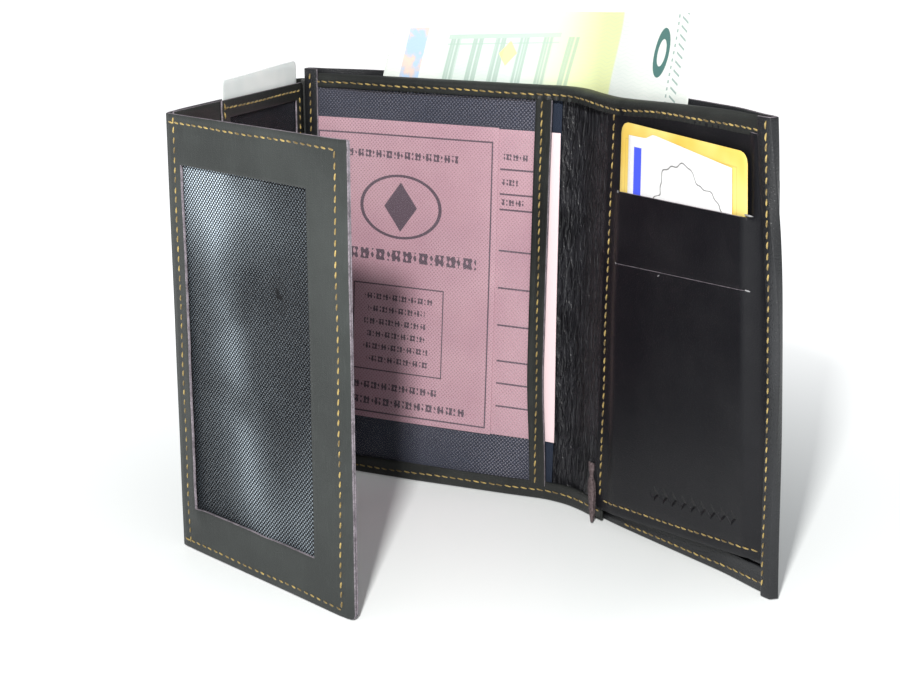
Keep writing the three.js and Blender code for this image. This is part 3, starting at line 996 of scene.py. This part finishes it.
def tag_outline(s, t, z):
    """Its top edge has a low corner at the left, a peak, and a slow fall to the right."""
    top = 129.7 + 1.5 * ease((s - 44) / 5) - 4.6 * max(0, (s - 49) / 37.6)
    return s, t, z if z < 100 else 100 + (z - 100) * (top - 100) / 31


shape(tag, tag_outline)
fit(tag, cover_path, 0.12, 0.03, "white_card", tag_paint.material)
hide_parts("paper_tag")
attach(tag, "paper_tag")

# ---- Spine strap ----
# The end of a narrow raw brown strap, doubled and caught under the card panel at the foot of
# the spine. It hangs straight down to the table in front of the hem.
brown_paint = Paint("raw brown strap", roughness=0.7, specular=0.35)
brown_fibre = brown_paint.cloud(1100, 4, 0.65)
brown_paint.colour(
    brown_fibre.fade(0.3, 0.7), (0.05, 0.034, 0.036), (0.15, 0.115, 0.12))
brown_paint.bump(brown_fibre, 0.0002)

for name, side, top, width in (("spine_strap", 0.0, 19.0, 4.0), ("spine_strap_end", 1.2, 14.5, 2.6)):
    strap = bench_sheet(name, (-width / 2, width / 2), (0.4, top), 0, 0.55)

    def strap_fall(s, t, z):
        down = 1 - z / 19
        narrow = 0.75 + 0.3 * bell(z - 10, 4) - 0.35 * bell(z - 14.8, 1.4) - 0.35 * ease((3 - z) / 3)
        return (17.6 + side + 4.3 * down + s * narrow, 0.3 - 2.3 * down - side * 0.7 + 0.25 * abs(s), z)

    shape(strap, strap_fall)
    lay(strap, cover_path)
    thicken(strap, 0.55, 0.18)
    dress(strap, "brown_leather", brown_paint.material)
    if not side:
        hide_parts("spine_tag")
    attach(strap, "front_cover")
    strap_back, strap_front = cover_path(19, 1.6, 8), cover_path(19, 0.6, 8)
    inward = strap_back - strap_front
    on_table(strap_back.x, strap_back.y, 8)
    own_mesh(strap)

# ---- Leaf 1 ----
# The inner side of the first leaf: a leather frame with a net pocket next to the back cover,
# and plain leather on to the fold. A gusset joins it to the back cover.
LEAF_HEIGHT, LEAF_1_WIDTH = 137.5, 93.2
FOLD = Vector((-88.4, -91.8))          # inner corner between the two leaves
POCKET_END = 60.8
LEAF_ROOT = Vector((-BACK_WIDTH, 0))


def root_path(s, t, z):
    """Left edge of the back cover (s below 0) round to leaf 1 (s above 0)."""
    heading = (FOLD - LEAF_ROOT).normalized()
    return round_corner(LEAF_ROOT, Vector((-1, 0)), heading, Vector((0, 1)), 0.8, s, t)


gusset = bench_sheet("leaf_1_gusset", (-6, 11), (0.6, 138.6), 2.45, 1.0)
fit(gusset, root_path, 0.7, 0.2, "smooth_leather", dark_leather)
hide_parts("leaf_1_fold")
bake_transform(gusset)


def cut_window(piece, s, z):
    clear_choice("FACE")
    for face in piece.data.polygons:
        face.select = s[0] < face.center.x < s[1] and z[0] < face.center.z < z[1]
    bpy.ops.object.mode_set(mode="EDIT")
    bpy.ops.mesh.delete(type="FACE")
    bpy.ops.object.mode_set(mode="OBJECT")
    return piece


leaf_frame = bench_sheet("leaf_1_frame_leather", (0.6, POCKET_END), (0.3, LEAF_HEIGHT), 0, 1.6,
                         lines_s=(5.5, 55.5), lines_z=(6.5, 131.7))
cut_window(leaf_frame, (5.5, 55.5), (6.5, 131.7))
shape(leaf_frame, lambda s, t, z: (s, t + 0.15 * bell(z - 134.8, 0.9) + 0.1 * ripple(s, z, 20, 15), z))
fit(leaf_frame, root_path, 0.7, 0.2, "smooth_leather", dark_leather, raw_edge)
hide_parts("leaf_1_pocket_frame")
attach(leaf_frame, "leaf_1")

leaf_net_paint = net_paint("leaf net", (0.03, 0.032, 0.045), (0.12, 0.13, 0.17), 0.5, 0.6, even_shine)
leaf_net = bench_sheet("leaf_1_net", (1.6, 59), (1.5, 135.6), 0.95, 3)
fit(leaf_net, root_path, 0.06, 0.01, "window_mesh", leaf_net_paint)
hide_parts("leaf_1_pocket_mesh")
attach(leaf_net, "leaf_1")

leaf_cloth = bench_sheet("leaf_1_lining", (1.6, 59), (1.5, 132.5), 1.12, 4)
fit(leaf_cloth, root_path, 0.12, 0.03, "lining_fabric", lining_twill)
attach(leaf_cloth, "leaf_1")

leaf_inner = bench_sheet("leaf_1_inner_leather", (POCKET_END - 1.2, LEAF_1_WIDTH - 2.4),
                         (0.3, LEAF_HEIGHT - 0.1), 0.95, 1.6)
shape(leaf_inner, lambda s, t, z: (s, t + 0.2 * ripple(s, z, 22, 16), z))
fit(leaf_inner, root_path, 0.8, 0.2, "smooth_leather", dark_leather, raw_edge)
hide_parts("leaf_1_inner")
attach(leaf_inner, "leaf_1")

white_paint = Paint("white plastic card", roughness=0.3, specular=0.5)
white_cloud = white_paint.cloud(60, 2)
white_paint.colour(
    white_cloud.fade(0.3, 0.7), (0.8, 0.85, 0.85), (0.9, 0.93, 0.92))
white_card = bench_sheet("white_card_sheet", (2.6, 58.0), (59.5, 145), 1.28, 1.6)
shape(white_card, round_off((2.6, 58.0), (59.5, 145), 1.6))
shape(white_card, lambda s, t, z: (s, t, z - 1.5 * ease(s / 58)))
fit(white_card, root_path, 0.42, 0.1, "white_card", white_paint.material)
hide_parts("white_card")
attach(white_card, "white_card")

sew("thread_leaf_1",
    [((59.3, 2), (59.3, 137)), ((2.5, 134.8), (59.3, 134.8)), ((3, 3), (3, 133)), ((3, 3), (58, 3))],
    lambda s, z: -0.05, root_path, ["thread_leaf_1"], "leaf_1")

# ---- Leaves: outer leather ----
# One piece of smooth leather covers the outside of leaf 1, turns the fold and makes the window
# frame of leaf 2. Its edges are cut raw.
smooth_leather = leather("smooth leather", (0.017, 0.02, 0.019), (0.034, 0.039, 0.037),
                         0.46, 2400, 0.00007, 0.5)
LEAF_2_HEADING = flat_vector(-17.6)
WINDOW_S, WINDOW_Z = (7.1, 66.9), (14.4, 122.5)
LEAF_FACE, LEAF_END = 1.35, 84.0
SEAM_LEFT, SEAM_RIGHT, SEAM_TOP, SEAM_FOOT = 3.4, 79.4, 134.6, 2.3


def leaf_path(s, t, z):
    """Leaf 1 (s below 0) round the outer fold to leaf 2 (s above 0)."""
    heading = (FOLD - LEAF_ROOT).normalized()
    outward = Vector((heading.y, -heading.x))
    return round_corner(FOLD, heading, LEAF_2_HEADING, outward, 0.7, s, t)


def outer_depth(s, z):
    seams = (bell(s - SEAM_LEFT, 0.7) + bell(s - SEAM_RIGHT, 0.7)
             + bell(z - SEAM_TOP, 0.7) + bell(z - SEAM_FOOT, 0.7))
    curl = 0.7 * bell(s - 8, 4) * ease((118 - z) / 90) * ease((z - 6) / 8)
    return (LEAF_FACE + 0.75 * ease(-s / 12) - 0.16 * min(seams, 1) * ease(s / 2)
            + (0.1 + 0.15 * ease(s / 6)) * ripple(s, z, 32, 17) + curl - 0.8 * ease((s - 79) / 6))


outer = bench_sheet("leaves_outer_leather", (-LEAF_1_WIDTH + 1.2, LEAF_END), (0.2, LEAF_HEIGHT), 0, 1.4,
                    lines_s=WINDOW_S, lines_z=WINDOW_Z)
cut_window(outer, WINDOW_S, WINDOW_Z)
shape(outer, round_off((-200, LEAF_END), (0.2, 300), 1.4))
shape(outer, lambda s, t, z: (
    s + 0.25 * ripple(0, z, 9, 30) * bell(s - 7.1, 1) + 0.015 * (60 - z) * bell(s - 7.1, 2),
    outer_depth(s, z), z + 0.3 * ripple(s, 0, 7, 31) * bell(z - 14.4, 1)))
fit(outer, leaf_path, 0.95, 0.15, "smooth_leather", smooth_leather, raw_edge)
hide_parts("leaf_1_outer", "leaf_2_frame", "leaf_2_fold")


def across_fold(piece):
    start, end = leaf_path(-3.5, 0, 70), leaf_path(3.5, 0, 70)
    on_table(start.x, start.y, 70)
    on_table(end.x, end.y, 70)
    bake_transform(piece)


across_fold(outer)
sew("thread_leaf_2", [((SEAM_LEFT, 1.5), (3.1, 137.2)), ((79.1, SEAM_FOOT), (79.6, SEAM_TOP)),
                      ((0.2, SEAM_TOP + 0.3), (79.6, SEAM_TOP)), ((0.2, 2.6), (79.1, SEAM_FOOT))],
    lambda s, z: outer_depth(s, z) + 1.0, leaf_path, ["thread_leaf_2"], "leaf_2", inner=False)

# ---- Leaf 2: window net, lining and backing ----
# The net swells a little in its window over a black lining, and highlights are painted on its knots. Behind
# both is plain leather, the inner side of the leaf.
def window_painted_highlights(s, z, cloud):
    """Painted highlights: a bright stripe painted down the window, and painted highlights on its head and
    its lower free corner.
    """
    off_stripe = (s - 17 - (122 - z) * 0.2) / 9
    stripe = 0.55 / (off_stripe * off_stripe + 1)
    head = z.fade(88, 118) * (1 - s.fade(20, 75) * 0.7) * 0.5
    corner = (s - z * 0.7).fade(20, 58) * 0.45
    return (stripe + head + corner) * (cloud.fade(0.3, 0.6) * 0.8 + 0.35) + 0.03


# The knots are dark, painted towards the pale bluish colour where highlights are painted.
window_net_paint = net_paint("leaf window net", (0.02, 0.026, 0.035), (0.68, 0.8, 0.9),
                             0.5, 1.0, window_painted_highlights)
window_net = bench_sheet("leaf_2_net", (3, 82.6), (1.5, 136.3), 1.05, 2.5)


def net_swell(s, t, z):
    inside = ease((s - 6) / 14) * ease((70 - s) / 14) * ease((z - 10) / 20) * ease((127 - z) / 20)
    return s, t - 0.1 + inside * (0.6 * ripple(s, z, 26, 21) + 0.1), z


shape(window_net, net_swell)
fit(window_net, leaf_path, 0.06, 0.01, "window_mesh", window_net_paint)
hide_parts("leaf_2_window_mesh")
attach(window_net, "leaf_2")

leaf_lining = bench_sheet("leaf_2_lining", (3, 82.4), (1.5, 136), 0.58, 4)
fit(leaf_lining, leaf_path, 0.1, 0.03, "lining_fabric", lining_twill)
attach(leaf_lining, "leaf_2")

backing = bench_sheet("leaf_2_backing_leather", (0.9, LEAF_END - 0.2), (0.5, LEAF_HEIGHT - 0.3), 0, 2.0)
shape(backing, round_off((-20, LEAF_END - 0.2), (0.5, 200), 1.4))
fit(backing, leaf_path, 0.52, 0.15, "smooth_leather", smooth_leather, raw_edge)
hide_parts("leaf_2_backing")
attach(backing, "leaf_2")

# ---- Banknote ----
# A note of printed cotton paper stands loose in the pocket and bends round the spine with it.
# Its print is plain bands of colour, upright stripes and fine waved lines.
NOTE_LEFT, NOTE_RIGHT, NOTE_FOOT, NOTE_TOP = -75.5, 57.7, 104.0, 164.0
note_paint = Paint("printed note paper", roughness=0.65, specular=0.3)
_, note_s, note_z = note_paint.flat()
note_cloud = note_paint.cloud(40, 3)
mint = note_s.fade(-56, -50) * (1 - note_s.fade(-6, 4))
yellow_glow = note_s.fade(-26, 4) * (1 - note_s.fade(12.6, 13.8))
columns = (note_s * 0.72).wave() + (note_s * 2.16).wave() * 0.45 + (note_s * 5.2).wave() * 0.3
columns = columns.fade(0.1, 0.9) * note_s.between(-53, -5) * note_z.between(138, 156)
lintel = note_s.between(-53, -11) * (note_z.between(156, 157.4) + note_z.between(154, 154.5))
guilloche = (note_z * 5 + (note_s * 0.9).wave() * 2).wave().above(0.75)
foil = note_s.between(-69, -61.5) * note_z.between(141, 160)
foil_hue = note_paint.cloud(200, 3)
ring_s, ring_z = (note_s - 38.8) / 4.2, (note_z - 152) / 7.5
ring = (ring_s * ring_s + ring_z * ring_z).between(0.3, 1)
dashes = (note_z * 2.9).wave().above(0.2) * note_s.between(45.2, 46)
hatch = ((note_z + note_s * 0.5) * 2.4).wave().above(0.7) * note_s.between(47.4, 51)
star_s, star_z = (note_s + 29).size() / 3.4, (note_z - 151).size() / 4.2
colour = note_paint.mix(note_cloud.fade(0.3, 0.7), (0.72, 0.77, 0.74), (0.8, 0.84, 0.8))
for amount, ink in ((mint * 0.3, (0.5, 0.68, 0.6)), (yellow_glow * 0.75, (0.74, 0.8, 0.33)),
                    (columns * 0.6, (0.28, 0.42, 0.35)), (lintel * 0.65, (0.42, 0.56, 0.48)),
                    (guilloche * 0.12, (0.45, 0.62, 0.55)),
                    (foil * foil_hue.fade(0.3, 0.5) * 0.75, (0.35, 0.55, 0.85)),
                    (foil * (1 - foil_hue.fade(0.4, 0.55)) * 0.6, (0.85, 0.55, 0.4)),
                    (ring * 0.9, (0.004, 0.12, 0.11)), ((dashes + hatch) * 0.7, (0.14, 0.27, 0.25)),
                    ((star_s + star_z).below(1) * 0.8, (0.93, 0.9, 0.3))):
    colour = note_paint.mix(amount, colour, ink)
note_paint.set("Base Color", colour)
note_paint.bump(note_paint.cloud(1600, 2), 0.00003)

note = bench_sheet("banknote_sheet", (NOTE_LEFT, NOTE_RIGHT), (NOTE_FOOT, NOTE_TOP), 5.4, 1.6)


def note_form(s, t, z):
    """It leans back a little, waves along its length, and stands higher on the right."""
    out = ease((z - 138) / 26)
    wave = 0.7 * ripple(s, z, 38, 25) + 0.5 * math.sin(s / 13)
    return s + (z - 141) * 0.2, t + wave * (0.25 + 0.75 * out) + 1.5 * out, z + 0.052 * (s + 10)


shape(note, note_form)
fit(note, cover_path, 0.12, 0.02, "note_paper", note_paint.material)
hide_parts("banknote")
across_spine(note)
